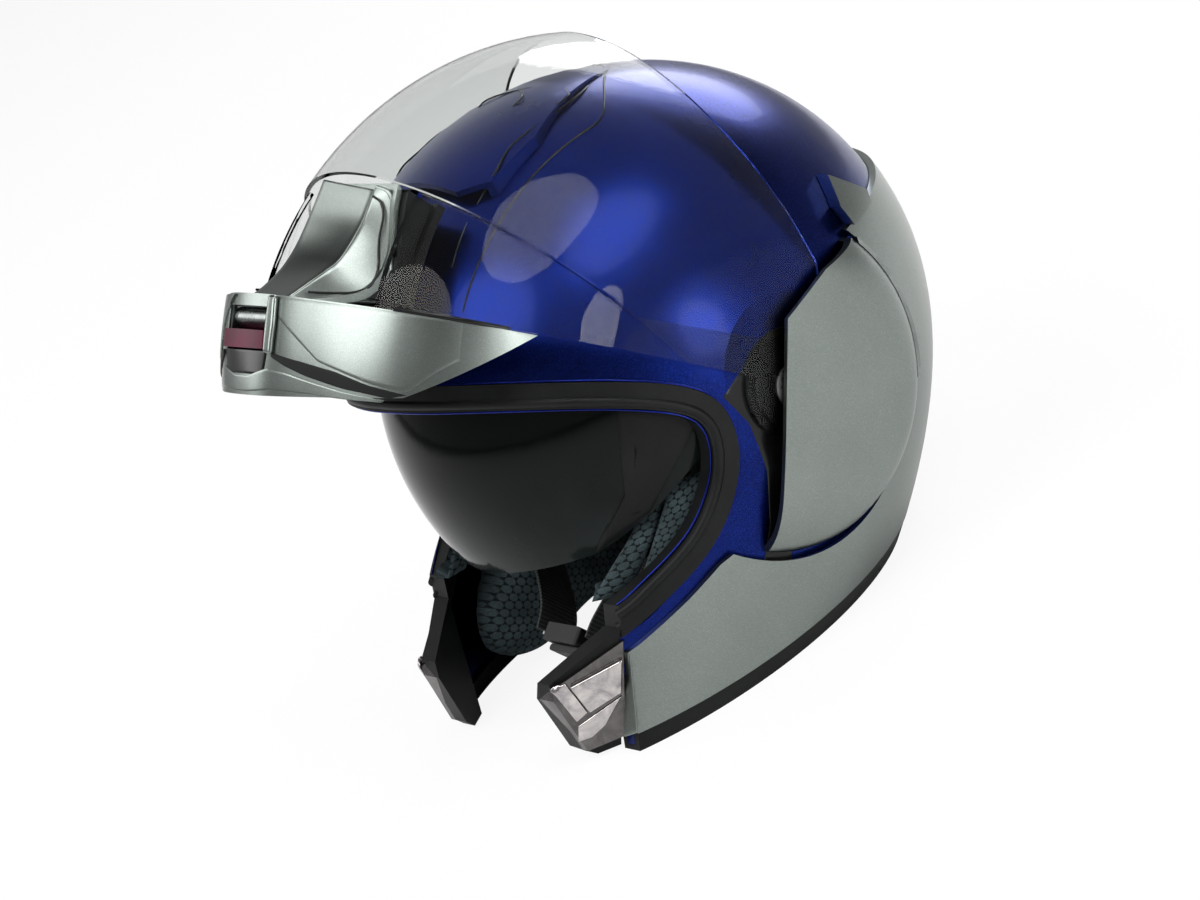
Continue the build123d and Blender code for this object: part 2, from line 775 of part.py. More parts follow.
# Strip along the chin bar's lower edge
with BuildPart() as chin_strip:
    add(chin_form(-fit_gap - strip_wall))
    add(chin_form(-fit_gap), mode=Mode.SUBTRACT)
    strip_top_angle = chin_bottom_angle + strip_angle
    strip_outline = [
        polar(wing_low_radius, chin_bottom_angle), polar(2 * overrun, chin_bottom_angle),
        polar(2 * overrun, strip_top_angle), polar(wing_low_radius, strip_top_angle),
    ]
    add(side_block(strip_outline), mode=Mode.INTERSECT)
finish(chin_strip.part, "chin_strip")

# Backing plate behind the tower, with a narrower foot behind the nose
backing_outer = nose_radius * tower_waist_share - tower_wall - lip_room
backing_radius = backing_outer - backing_wall
backing_ring = rod(backing_outer, -overrun, overrun) - rod(backing_radius, -overrun, overrun)
with BuildPart() as chin_backing:
    add(backing_ring)
    add(sector(tower_foot_angle, tower_top_angle), mode=Mode.INTERSECT)
    add(tower_block(backing_proud), mode=Mode.INTERSECT)
with BuildPart() as backing_foot:
    add(backing_ring)
    add(sector(mouth_high_angle, tower_foot_angle, centre_half_width), mode=Mode.INTERSECT)
finish(chin_backing.part + backing_foot.part, "chin_backing")

# Rubber lip: frame between the tower and its backing plate
with BuildPart() as chin_lip:
    add(rod(nose_radius, -overrun, overrun))
    add(rod(backing_outer + fit_gap, -overrun, overrun), mode=Mode.SUBTRACT)
    add(sector(tower_foot_angle, tower_top_angle - lip_set_back), mode=Mode.INTERSECT)
    add(tower_block(lip_width), mode=Mode.INTERSECT)
    add(tower_skin(-tower_wall - fit_gap, overrun), mode=Mode.SUBTRACT)
    add(tower_block(-lip_wall, foot=2 * lip_wall, head=2 * lip_wall), mode=Mode.SUBTRACT)
finish(chin_lip.part.solids().sort_by(SortBy.VOLUME)[-1], "chin_lip")

# Chin foam: block behind the nose, hollowed for the release button and the duct
foam_half_width = centre_half_width - soft_gap
with BuildPart() as chin_foam:
    add(chin_form(chin_wall + fit_gap))
    add(sector(chin_bottom_angle, mouth_high_angle - foam_set_back, foam_half_width), mode=Mode.INTERSECT)
    add(rod(backing_radius, -overrun, overrun), mode=Mode.SUBTRACT)
    button_floor = rod(nose_radius - button_depth - button_travel - soft_gap, -overrun, overrun)
    add(mouth - button_floor, mode=Mode.SUBTRACT)
finish(chin_foam.part, "chin_foam")

# Vent panel on the tower, in its dark frame
with BuildPart() as panel_space:
    add(tower_skin(-tower_wall, tower_wall, 4))
    add(tower_block(-vent_panel_inset, foot=panel_foot, head=panel_head), mode=Mode.INTERSECT)
with BuildPart() as vent_frame:
    add(tower_skin(fit_gap, fit_gap + vent_frame_wall, 4))
    frame_grow = vent_panel_inset - vent_frame_inset
    frame_block = tower_block(-vent_frame_inset, foot=panel_foot - frame_grow, head=panel_head - frame_grow)
    add(frame_block, mode=Mode.INTERSECT)
    add(panel_space.part, mode=Mode.SUBTRACT)
finish(vent_frame.part, "chin_vent_frame")
with BuildPart() as vent_panel:
    add(tower_skin(fit_gap, fit_gap + vent_panel_wall, 4))
    panel_grow = -vent_panel_inset - fit_gap
    panel_block = tower_block(panel_grow, foot=panel_foot + fit_gap, head=panel_head + fit_gap)
    add(panel_block, mode=Mode.INTERSECT)
finish(vent_panel.part, "chin_vent_panel")

# Duct across the mouth, and the release button under it
duct_y, duct_z = polar(nose_radius - duct_back, duct_angle)
inner_half_width = mouth_half_width - fit_gap
with BuildPart() as chin_duct:
    add(rod(duct_radius, -inner_half_width, inner_half_width, -duct_y, duct_z))
    add(rod(duct_radius - duct_wall, -overrun, overrun, -duct_y, duct_z), mode=Mode.SUBTRACT)
finish(chin_duct.part, "chin_duct")
with BuildPart() as release_button:
    add(chin_form(-button_proud))
    add(sector(button_low_angle, button_high_angle, inner_half_width), mode=Mode.INTERSECT)
    add(rod(nose_radius - button_depth, -overrun, overrun), mode=Mode.SUBTRACT)
finish(release_button.part, "release_button")

# Clear arm: carries the chin bar from the pivot, under the visor's side
arm_outline = [
    (0, 0), polar(arm_hub_radius, chin_top_angle, fit_gap), polar(2 * overrun, chin_top_angle, fit_gap),
    crease_top, (tip[0] + lean_y * arm_shoulder, tip[1] + lean_z * arm_shoulder), (0, arm_hub_radius),
]
arm_inside = tower_top_half_width + arm_spread
with BuildPart() as arm:
    add(hood(visor_wall + fit_gap))
    add(hood(visor_wall + fit_gap + arm_wall), mode=Mode.SUBTRACT)
    arm_side = side_block(arm_outline, near=arm_inside) + rod(arm_hub_radius, arm_inside, overrun)
    add(arm_side, mode=Mode.INTERSECT)
    add(tower_block(arm_spread), mode=Mode.SUBTRACT)
    add(rod(arm_hub_radius, plate_top + fit_gap, hood_half_width - visor_wall - fit_gap - arm_wall / 2))
    add(stud_hole, mode=Mode.SUBTRACT)
write_pair(arm.part.solids().sort_by(SortBy.VOLUME)[-1], "clear_arm")

# Top vent: scoop on the brow, open to the front, with a sliding shutter in its mouth
vent_outline = (
    (vent_half_width, -vent_shoulder), (vent_half_width, -vent_waist), (vent_tail_half_width, vent_back),
)


def vent_plan(inset, front):
    """Block over the scoop's plan outline, drawn in at the sides and the tail."""
    sides = [(vent_mouth_half_width, -front), *vent_outline]
    right_side = [(x - inset, min(y, vent_back - inset)) for x, y in sides]
    with BuildPart() as block:
        with BuildSketch(plan_plane.offset(equator)):
            with BuildLine():
                Polyline(*right_side, *[(-x, y) for x, y in reversed(right_side)], close=True)
            make_face()
        extrude(amount=overrun)
    return block.part


vent_axis = Axis((0, pivot_y + vent_back, equator + crown_rise), (1, 0, 0))
with BuildPart() as vent_bore:
    add(egg(soft_gap - vent_wall).rotate(vent_axis, -vent_tilt))
    add(vent_plan(vent_wall, 2 * vent_front), mode=Mode.INTERSECT)
with BuildPart() as top_vent:
    add(egg(soft_gap).rotate(vent_axis, -vent_tilt))
    add(vent_plan(0, vent_front), mode=Mode.INTERSECT)
    add(vent_bore.part, mode=Mode.SUBTRACT)
    add(egg(fit_gap), mode=Mode.SUBTRACT)
finish(top_vent.part.solids().sort_by(SortBy.VOLUME)[-1], "top_vent_scoop")
with BuildPart() as top_vent_shutter:
    add(egg(soft_gap + shutter_wall))
    add(egg(soft_gap), mode=Mode.SUBTRACT)
    with BuildSketch(plan_plane.offset(equator)):
        with Locations((0, -vent_front + shutter_depth / 2 + shutter_back)):
            Rectangle(2 * shutter_half_width, shutter_depth)
    extrude(amount=overrun, mode=Mode.INTERSECT)
finish(top_vent_shutter.part, "top_vent_shutter")

# Sun visor slider: small knob on the lower shell's right side, joined to the sun visor by a cable
with BuildPart() as sun_slider:
    add(egg(panel_wall + 2 * fit_gap + slider_proud))
    add(egg(panel_wall + 2 * fit_gap), mode=Mode.SUBTRACT)
    with BuildSketch(side_plane.offset(-overrun)):
        with Locations((-slider_forward, slider_above - pivot_height)):
            SlotOverall(slider_length, slider_height)
    extrude(amount=overrun, mode=Mode.INTERSECT)
finish(sun_slider.part, "sun_visor_slider")
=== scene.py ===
import json
import math

import bmesh
import bpy
from mathutils import Matrix, Vector
from mathutils.bvhtree import BVHTree


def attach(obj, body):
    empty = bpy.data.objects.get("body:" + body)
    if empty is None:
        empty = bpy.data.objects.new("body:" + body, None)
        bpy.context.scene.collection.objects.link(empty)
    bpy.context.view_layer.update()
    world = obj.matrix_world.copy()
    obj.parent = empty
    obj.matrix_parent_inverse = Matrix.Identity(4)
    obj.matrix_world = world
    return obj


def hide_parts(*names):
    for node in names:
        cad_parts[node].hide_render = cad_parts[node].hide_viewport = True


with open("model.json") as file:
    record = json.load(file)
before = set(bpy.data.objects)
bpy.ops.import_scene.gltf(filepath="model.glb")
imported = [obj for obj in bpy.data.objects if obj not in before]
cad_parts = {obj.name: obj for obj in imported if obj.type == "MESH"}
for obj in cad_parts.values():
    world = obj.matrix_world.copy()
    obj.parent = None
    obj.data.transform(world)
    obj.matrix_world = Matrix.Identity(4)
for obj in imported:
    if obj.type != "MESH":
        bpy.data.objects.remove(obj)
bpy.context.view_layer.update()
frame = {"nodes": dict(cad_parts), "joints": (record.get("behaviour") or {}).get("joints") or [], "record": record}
nodes = frame["nodes"]
hinge = next(joint for joint in frame["joints"] if joint["name"] == "chin_bar_hinge")
PIVOT = Vector(hinge["pos_m"])
MM = 0.001

# Camera: where the photograph was taken from, and how large a pixel of it is
PHOTO_WIDTH, PHOTO_HEIGHT = 1200, 900
LENS, SENSOR = 116.0, 36.0
right = Vector((0.5403, 0.7272, -0.4233)).normalized()
up = Vector((-0.0565, 0.5333, 0.8441))
back = right.cross(up).normalized()
up = back.cross(right)
stand = PIVOT + Vector((1.5607, -0.8420, 0.5931))
camera = bpy.data.objects.new("camera", bpy.data.cameras.new("camera"))
bpy.context.scene.collection.objects.link(camera)
camera.matrix_world = Matrix((
    (right.x, up.x, back.x, stand.x),
    (right.y, up.y, back.y, stand.y),
    (right.z, up.z, back.z, stand.z),
    (0, 0, 0, 1),
))
camera.data.lens = LENS
camera.data.sensor_width = SENSOR
bpy.context.scene.camera = camera
bpy.context.scene.view_settings.view_transform = "Standard"


def linear(code):
    """Linear colour of an sRGB hex code."""
    channels = [int(code[i:i + 2], 16) / 255 for i in (1, 3, 5)]
    return [c / 12.92 if c <= 0.04045 else ((c + 0.055) / 1.055) ** 2.4 for c in channels] + [1]


def add_node(tree, kind, sockets=None, stops=None, **settings):
    """Add a shader node. A socket given another node's socket is linked to it, and stops colour a ramp."""
    node = tree.nodes.new(kind)
    for name, value in settings.items():
        setattr(node, name, value)
    for name, value in (sockets or {}).items():
        if isinstance(value, bpy.types.NodeSocket):
            tree.links.new(value, node.inputs[name])
        else:
            node.inputs[name].default_value = value
    for index, (stop, colour) in enumerate(stops or ()):
        element = node.color_ramp.elements[index] if index < 2 else node.color_ramp.elements.new(stop)
        element.position = stop
        element.color = colour
    return node


def start_material(name, **sockets):
    """New material, with its node tree and its shader."""
    material = bpy.data.materials.new(name)
    material.use_nodes = True
    tree = material.node_tree
    shader = tree.nodes["Principled BSDF"]
    for socket, value in sockets.items():
        shader.inputs[socket.replace("_", " ")].default_value = value
    return material, tree, shader


# Sizes of the finer patterns in the finishes, in millimetres
CLOUD, PATCH, WIPE, SMEAR, STITCH, NAP, WARP = 45, 18, 35, 30, 0.5, 14, 0.8
FLAKE_DEPTH, HAZE_DEPTH, STITCH_DEPTH, RIB_DEPTH = 0.015, 0.25, 0.5, 0.3
# Heights above the floor, in metres, between which the visor's colour grows paler towards the bottom
PALE_TOP, PALE_LOW = 0.14, 0.075


def lacquer(name, deep, bright, roughness, coat, flake_mm):
    """Sprayed metallic lacquer: aluminium flakes in colour under a clear coat.

    Dark away from the light and glowing where a lamp is mirrored, with a sparkle of single flakes.
    Real flakes are 0.02 mm, so they are drawn larger to show.
    """
    material, tree, shader = start_material(
        name, Metallic=1.0, Coat_Weight=coat, Coat_Roughness=0.04, Coat_IOR=1.5,
    )
    coords = add_node(tree, "ShaderNodeTexCoord").outputs["Object"]
    flakes = add_node(tree, "ShaderNodeTexVoronoi", {"Vector": coords, "Scale": 1 / (flake_mm * MM)})
    clouds = add_node(tree, "ShaderNodeTexNoise", {"Vector": coords, "Scale": 1 / (CLOUD * MM), "Detail": 3.0})
    mixed = add_node(tree, "ShaderNodeMix", {
        "Factor": 0.35, 2: flakes.outputs["Distance"], 3: clouds.outputs["Fac"],
    })
    stops = [(0.2, linear(deep)), (0.75, linear(bright))]
    tone = add_node(tree, "ShaderNodeValToRGB", {"Fac": mixed.outputs[0]}, stops)
    gloss = add_node(tree, "ShaderNodeMapRange", {
        "Value": clouds.outputs["Fac"], "To Min": roughness - 0.04, "To Max": roughness + 0.05,
    })
    relief = add_node(tree, "ShaderNodeBump", {
        "Height": flakes.outputs["Distance"], "Distance": FLAKE_DEPTH * MM, "Strength": 0.2,
    })
    tree.links.new(tone.outputs["Color"], shader.inputs["Base Color"])
    tree.links.new(gloss.outputs["Result"], shader.inputs["Roughness"])
    tree.links.new(relief.outputs["Normal"], shader.inputs["Normal"])
    return material


def moulded(name, dark, light, roughness, gloss, grain_mm, depth_mm):
    """Moulded plastic, rubber or foam: an even tool grain, faintly patchy, never pure black."""
    material, tree, shader = start_material(name, Specular_IOR_Level=gloss)
    coords = add_node(tree, "ShaderNodeTexCoord").outputs["Object"]
    patches = add_node(tree, "ShaderNodeTexNoise", {"Vector": coords, "Scale": 1 / (PATCH * MM), "Detail": 6.0})
    grain = add_node(tree, "ShaderNodeTexVoronoi", {"Vector": coords, "Scale": 1 / (grain_mm * MM)})
    stops = [(0.35, linear(dark)), (0.7, linear(light))]
    tone = add_node(tree, "ShaderNodeValToRGB", {"Fac": patches.outputs["Fac"]}, stops)
    wear = add_node(tree, "ShaderNodeMapRange", {
        "Value": patches.outputs["Fac"], "To Min": roughness - 0.08, "To Max": roughness + 0.08,
    })
    relief = add_node(tree, "ShaderNodeBump", {
        "Height": grain.outputs["Distance"], "Distance": depth_mm * MM, "Strength": 0.6,
    })
    tree.links.new(tone.outputs["Color"], shader.inputs["Base Color"])
    tree.links.new(wear.outputs["Result"], shader.inputs["Roughness"])
    tree.links.new(relief.outputs["Normal"], shader.inputs["Normal"])
    return material


def plated(name, bright, dull, roughness, dust, spots_mm):
    """Chromium plating or steel: a near mirror, hazed in patches by handling and dust."""
    material, tree, shader = start_material(name, Metallic=1.0)
    coords = add_node(tree, "ShaderNodeTexCoord").outputs["Object"]
    haze = add_node(tree, "ShaderNodeTexNoise", {
        "Vector": coords, "Scale": 1 / (spots_mm * MM), "Detail": 8.0, "Roughness": 0.65, "Distortion": 0.6,
    })
    stops = [(0.38, linear(bright)), (0.72, linear(dull))]
    tone = add_node(tree, "ShaderNodeValToRGB", {"Fac": haze.outputs["Fac"]}, stops)
    gloss = add_node(tree, "ShaderNodeMapRange", {
        "Value": haze.outputs["Fac"], "From Min": 0.4, "From Max": 0.75,
        "To Min": roughness, "To Max": roughness + dust,
    })
    relief = add_node(tree, "ShaderNodeBump", {
        "Height": haze.outputs["Fac"], "Distance": HAZE_DEPTH * MM, "Strength": 0.5,
    })
    tree.links.new(tone.outputs["Color"], shader.inputs["Base Color"])
    tree.links.new(gloss.outputs["Result"], shader.inputs["Roughness"])
    tree.links.new(relief.outputs["Normal"], shader.inputs["Normal"])
    return material


def clear_plastic(name, tint, smear_roughness):
    """Injection-moulded polycarbonate: clear, with faint wiping smears that only the gloss shows.

    Its reflections are matched to the photograph, where they are weaker than plain polycarbonate's.
    """
    material, tree, shader = start_material(
        name, Base_Color=linear(tint), IOR=1.16, Transmission_Weight=1.0,
    )
    coords = add_node(tree, "ShaderNodeTexCoord").outputs["Object"]
    smears = add_node(tree, "ShaderNodeTexNoise", {"Vector": coords, "Scale": 1 / (WIPE * MM), "Detail": 5.0})
    gloss = add_node(tree, "ShaderNodeMapRange", {
        "Value": smears.outputs["Fac"], "From Min": 0.5, "From Max": 0.9,
        "To Min": 0.0, "To Max": smear_roughness,
    })
    tree.links.new(gloss.outputs["Result"], shader.inputs["Roughness"])
    return material


def smoked(name, dark, light):
    """Smoke-tinted polycarbonate over a dark hollow, drawn opaque: its dark colour is the smoke tint and painted
    shade of the hollow behind. Glossy, and paler towards the bottom in smeared patches.
    """
    material, tree, shader = start_material(
        name, Specular_IOR_Level=0.12, Coat_Weight=0.03, Coat_Roughness=0.02,
    )
    coords = add_node(tree, "ShaderNodeTexCoord").outputs["Object"]
    height = add_node(tree, "ShaderNodeSeparateXYZ", {"Vector": coords}).outputs["Z"]
    smears = add_node(tree, "ShaderNodeTexNoise", {"Vector": coords, "Scale": 1 / (SMEAR * MM), "Detail": 4.0})
    down = add_node(tree, "ShaderNodeMapRange", {
        "Value": height, "From Min": PALE_TOP, "From Max": PALE_LOW, "To Min": 0.0, "To Max": 0.8,
    })
    both = add_node(tree, "ShaderNodeMath", {
        0: down.outputs["Result"], 1: smears.outputs["Fac"],
    }, operation="MULTIPLY")
    stops = [(0.0, linear(dark)), (0.6, linear(light))]
    tone = add_node(tree, "ShaderNodeValToRGB", {"Fac": both.outputs[0]}, stops)
    gloss = add_node(tree, "ShaderNodeMapRange", {
        "Value": smears.outputs["Fac"], "To Min": 0.04, "To Max": 0.16,
    })
    tree.links.new(tone.outputs["Color"], shader.inputs["Base Color"])
    tree.links.new(gloss.outputs["Result"], shader.inputs["Roughness"])
    return material


def hexagon_knit(name, valley, face, pitch_mm):
    """Three-dimensional polyester knit: raised hexagons with dark seams between them.

    Three sets of waves, a third of a turn apart, add up to hexagons on the piece's own map.
    The single stitches are drawn at 0.5 mm, about twice their real size.
    """
    material, tree, shader = start_material(name, Roughness=0.92, Specular_IOR_Level=0.15, Sheen_Weight=0.25)
    shader.inputs["Sheen Tint"].default_value = linear("#8fa0a4")
    chart = add_node(tree, "ShaderNodeTexCoord").outputs["UV"]
    total = None
    row = pitch_mm * MM * math.sqrt(3) / 2
    for turn in (0, 120, 240):
        side = (math.cos(math.radians(turn)), math.sin(math.radians(turn)), 0)
        along = add_node(tree, "ShaderNodeVectorMath", {0: chart, 1: side}, operation="DOT_PRODUCT")
        wave = add_node(tree, "ShaderNodeMath", {
            0: along.outputs["Value"], 1: math.tau / row,
        }, operation="MULTIPLY")
        swell = add_node(tree, "ShaderNodeMath", {0: wave.outputs[0]}, operation="COSINE").outputs[0]
        total = swell if total is None else add_node(tree, "ShaderNodeMath", {0: total, 1: swell}).outputs[0]
    hexes = add_node(tree, "ShaderNodeMapRange", {
        "Value": total, "From Min": -1.12, "From Max": -0.84,
    }).outputs["Result"]
    stitches = add_node(tree, "ShaderNodeTexNoise", {
        "Vector": chart, "Scale": 1 / (STITCH * MM), "Detail": 2.0,
    })
    nap = add_node(tree, "ShaderNodeTexNoise", {"Vector": chart, "Scale": 1 / (NAP * MM), "Detail": 3.0})
    lit = add_node(tree, "ShaderNodeMath", {
        0: hexes, 1: stitches.outputs["Fac"],
    }, operation="MULTIPLY").outputs[0]
    worn = add_node(tree, "ShaderNodeMath", {0: lit, 1: nap.outputs["Fac"]}, operation="MULTIPLY").outputs[0]
    tone = add_node(tree, "ShaderNodeValToRGB", {"Fac": worn}, [(0.03, linear(valley)), (0.42, linear(face))])
    relief = add_node(tree, "ShaderNodeBump", {"Height": lit, "Distance": STITCH_DEPTH * MM, "Strength": 0.9})
    tree.links.new(tone.outputs["Color"], shader.inputs["Base Color"])
    tree.links.new(relief.outputs["Normal"], shader.inputs["Normal"])
    return material


def webbing_weave(name, dark, light, rib_mm):
    """Woven polyester webbing: tight cross ribs over long warp lines, faintly shiny on each rib."""
    material, tree, shader = start_material(name, Roughness=0.7, Specular_IOR_Level=0.25, Sheen_Weight=0.2)
    chart = add_node(tree, "ShaderNodeTexCoord").outputs["UV"]
    # A wave texture of scale 1 repeats every 0.314 units
    ribs, warp = (
        add_node(
            tree, "ShaderNodeTexWave", {"Vector": chart, "Scale": 0.314 / (pitch * MM)}, bands_direction=way,
        ).outputs["Fac"]
        for pitch, way in ((rib_mm, "X"), (WARP, "Y"))
    )
    both = add_node(tree, "ShaderNodeMath", {0: ribs, 1: warp}, operation="MULTIPLY")
    stops = [(0.05, linear(dark)), (0.8, linear(light))]
    tone = add_node(tree, "ShaderNodeValToRGB", {"Fac": both.outputs[0]}, stops)
    relief = add_node(tree, "ShaderNodeBump", {
        "Height": both.outputs[0], "Distance": RIB_DEPTH * MM, "Strength": 0.8,
    })
    tree.links.new(tone.outputs["Color"], shader.inputs["Base Color"])
    tree.links.new(relief.outputs["Normal"], shader.inputs["Normal"])
    return material


blue_lacquer = lacquer("blue metallic lacquer", "#060c32", "#14287a", 0.28, 0.08, 0.5)
# Rolled edges: the blue lacquer in a lighter copy, a painted highlight where the edge catches the light
blue_edge_painted_highlight = lacquer("blue lacquer on a rolled edge", "#0b1558", "#182a8c", 0.3, 0.15, 0.5)
silver_lacquer = lacquer("silver satin lacquer", "#717874", "#8c938f", 0.29, 0.05, 0.4)
black_rubber = moulded("moulded rubber", "#070808", "#101112", 0.5, 0.22, 0.7, 0.03)
black_plastic = moulded("grained black nylon", "#060607", "#0e0f10", 0.42, 0.2, 0.6, 0.03)
# Gloss black nylon for real black parts; the same black is laid in grooves and the pivot well as painted shade
gloss_black_and_painted_shade = moulded("gloss black nylon", "#050506", "#0b0c0d", 0.22, 0.3, 1.2, 0.01)
pressed_foam = moulded("pressed black foam", "#080909", "#121313", 0.85, 0.15, 3.0, 0.2)
crimson = moulded("crimson gloss nylon", "#3a081e", "#5c0f30", 0.4, 0.2, 1.0, 0.01)
satin_chrome = plated("satin chromium plate", "#8d9290", "#6d7270", 0.24, 0.12, 20)
bright_chrome = plated("bright chromium plate", "#d0cbc8", "#77717a", 0.18, 0.12, 13)
dark_chrome = plated("dark chromium plate", "#6f6c6b", "#4a4848", 0.12, 0.15, 11)
steel = plated("turned steel", "#8c8c8a", "#5f5f5e", 0.25, 0.2, 4)
clear = clear_plastic("clear polycarbonate", "#e4e6e5", 0.015)
# Sun visor: an opaque dark colour that holds painted shade of the hollow behind it
smoke_and_painted_shade = smoked("smoked polycarbonate", "#030505", "#1d2423")
knit = hexagon_knit("hexagon knit polyester", "#0c1112", "#455357", 4.4)
webbing = webbing_weave("woven polyester webbing", "#0a0b0b", "#2d3132", 2.0)

finishes = {
    "blue_shell": blue_lacquer, "silver_shell": silver_lacquer, "silver_trim": satin_chrome,
    "black_rubber": black_rubber, "black_plastic": black_plastic, "crimson_button": crimson,
    "black_foam": pressed_foam, "liner_fabric": knit, "strap_webbing": webbing, "clear_visor": clear,
    "smoked_visor": smoke_and_painted_shade, "steel_bolt": steel, "chrome_plate": dark_chrome,
}
for part in frame["record"]["subparts"]:
    node = nodes[part["node"]]
    node.data.materials.clear()
    node.data.materials.append(finishes[part["material_slot"]])


# Making of pieces
def place(x, y, z):
    """Point in millimetres from the pivot: x to the wearer's left, y to the back, z up."""
    return PIVOT + Vector((x, y, z)) * MM


def flipped(points):
    """The same points on the wearer's other side."""
    return [Vector((-point.x, point.y, point.z)) for point in points]


def skin_of(*names):
    """Search tree of the skins of some CAD nodes."""
    form = bmesh.new()
    for name in names:
        form.from_mesh(nodes[name].data)
    return BVHTree.FromBMesh(form)


def sight_line(px, py):
    """Direction from the camera through a pixel of the photograph."""
    aside = (px - PHOTO_WIDTH / 2) / PHOTO_WIDTH * SENSOR / LENS
    above = (PHOTO_HEIGHT / 2 - py) / PHOTO_WIDTH * SENSOR / LENS
    return (right * aside + up * above - back).normalized()


def seen(skin, pixels):
    """Points on a skin where the photograph shows these pixels."""
    points = []
    for px, py in pixels:
        sight = sight_line(px, py)
        spot, _, _, _ = skin.ray_cast(stand, sight)
        if spot is None:
            spot, _, _, _ = skin.find_nearest(stand + sight * (PIVOT - stand).dot(sight))
        points.append(spot)
    return points


def sighted(places):
    """Points on the sight lines through photo pixels, each at its own distance from the middle plane."""
    points = []
    for px, py, x in places:
        sight = sight_line(px, py)
        points.append(stand + sight * ((PIVOT.x + x * MM - stand.x) / sight.x))
    return points


# Points in the finest lines, the chin's profile and the longer and shorter edges, and between two knots
FINE_POINTS, PROFILE_POINTS, EDGE_POINTS, ROLL_POINTS, STEPS_BETWEEN = 1400, 300, 61, 41, 16


def smooth_line(points, count):
    """Evenly spaced points on the smooth line through some points."""
    dense = []
    ends = [points[0] * 2 - points[1], *points, points[-1] * 2 - points[-2]]
    for a, b, c, d in zip(ends, ends[1:], ends[2:], ends[3:]):
        for step in range(STEPS_BETWEEN):
            t = step / STEPS_BETWEEN
            dense.append(0.5 * (
                2 * b + (c - a) * t + (2 * a - 5 * b + 4 * c - d) * t * t + (3 * b - a - 3 * c + d) * t ** 3
            ))
    dense.append(points[-1])
    return even_line(dense, count)


def even_line(points, count):
    """Evenly spaced points on a run of straight pieces."""
    lengths = [0.0]
    for a, b in zip(points, points[1:]):
        lengths.append(lengths[-1] + (b - a).length)
    out, index = [], 0
    for step in range(count):
        goal = lengths[-1] * step / (count - 1)
        while index < len(points) - 2 and lengths[index + 1] < goal:
            index += 1
        span = lengths[index + 1] - lengths[index]
        out.append(points[index].lerp(points[index + 1], (goal - lengths[index]) / span if span else 0))
    return out


def keep(name, form, material, body, replaced):
    """Make an object of a bmesh, with its material and body."""
    mesh = bpy.data.meshes.new(name)
    form.to_mesh(mesh)
    form.free()
    mesh.materials.append(material)
    mesh.polygons.foreach_set("use_smooth", [True] * len(mesh.polygons))
    piece = bpy.data.objects.new(name, mesh)
    bpy.context.scene.collection.objects.link(piece)
    dress(piece, body, replaced)
    return piece


def dress(piece, body, replaced=()):
    """Attach a piece to its body, and hide the CAD nodes that it stands for."""
    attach(piece, body)
    if replaced:
        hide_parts(*replaced)


def bead(name, lines, radius, material, body):
    """Round bead along smooth lines of points, its radius in millimetres."""
    data = bpy.data.curves.new(name, "CURVE")
    data.dimensions = "3D"
    data.bevel_depth = radius * MM
    data.bevel_resolution = 3
    data.resolution_u = 6
    data.use_fill_caps = True
    for points in lines:
        spline = data.splines.new("BEZIER")
        spline.bezier_points.add(len(points) - 1)
        for knot, point in zip(spline.bezier_points, points):
            knot.co = point
            knot.handle_left_type = knot.handle_right_type = "AUTO"
    data.materials.append(material)
    piece = bpy.data.objects.new(name, data)
    bpy.context.scene.collection.objects.link(piece)
    dress(piece, body)
    return piece


def panel(
    name, sheets, settle, wall, material, body, columns=40, rows=8, edge=0.5, crown=0.0, replaced=(),
):
    """Plate between pairs of edge lines, each point settled on its carrier, its wall in millimetres.

    A crown swells its middle outwards, and then the wall is inside.
    """
    form = bmesh.new()
    chart = form.loops.layers.uv.new("UVMap")
    for first, second in sheets:
        length = (first[0] - first[-1]).length
        first, second = even_line(first, columns + 1), even_line(second, columns + 1)
        width = (first[0] - second[0]).length or (first[-1] - second[-1]).length
        grid = bmesh.ops.create_grid(form, x_segments=columns, y_segments=rows, size=0.5)["verts"]
        shares = {}
        for vertex in grid:
            shares[vertex] = (vertex.co.x + 0.5, vertex.co.y + 0.5)
        for vertex, (u, v) in shares.items():
            step = round(u * columns)
            vertex.co = settle(first[step].lerp(second[step], v))
        for face in {face for vertex in grid for face in vertex.link_faces}:
            for loop in face.loops:
                u, v = shares[loop.vert]
                loop[chart].uv = (u * length, v * width)
        middle = grid[len(grid) // 2]
        middle.normal_update()
        if middle.normal.dot(middle.co - Vector((0, PIVOT.y, PIVOT.z))) < 0:
            bmesh.ops.reverse_faces(form, faces=list({face for vertex in grid for face in vertex.link_faces}))
        if crown:
            for vertex in grid:
                vertex.normal_update()
            for vertex, (u, v) in shares.items():
                vertex.co += vertex.normal * crown * MM * math.sqrt(max(0, 16 * u * (1 - u) * v * (1 - v)))
    piece = keep(name, form, material, body, replaced)
    thick = piece.modifiers.new("wall", "SOLIDIFY")
    thick.thickness = wall * MM
    thick.offset = -1.0 if crown else 1.0
    if edge:
        soft = piece.modifiers.new("edge", "BEVEL")
        soft.width = edge * MM
        soft.segments = 2
        soft.limit_method = "ANGLE"
    return piece


def as_drawn(point):
    """Leave a point of a free sheet where it is."""
    return point


def both_sides(first, second):
    """The sheet between two edge lines, and its mirror image."""
    return [(first, second), (flipped(first), flipped(second))]


# Helmet form in millimetres: half an ellipsoid over an equator, stacked ellipses under it
HALF_WIDTH, HALF_LENGTH, CROWN = 125.0, 146.5, 139.0
BEHIND, EQUATOR, PIVOT_HEIGHT = 4.0, 10.0, 118.0
BASE_SHIFT, WIDTH_TUCK, LENGTH_TUCK, SIDE_FLAT = 54.0, 22.0, 15.0, 121.5


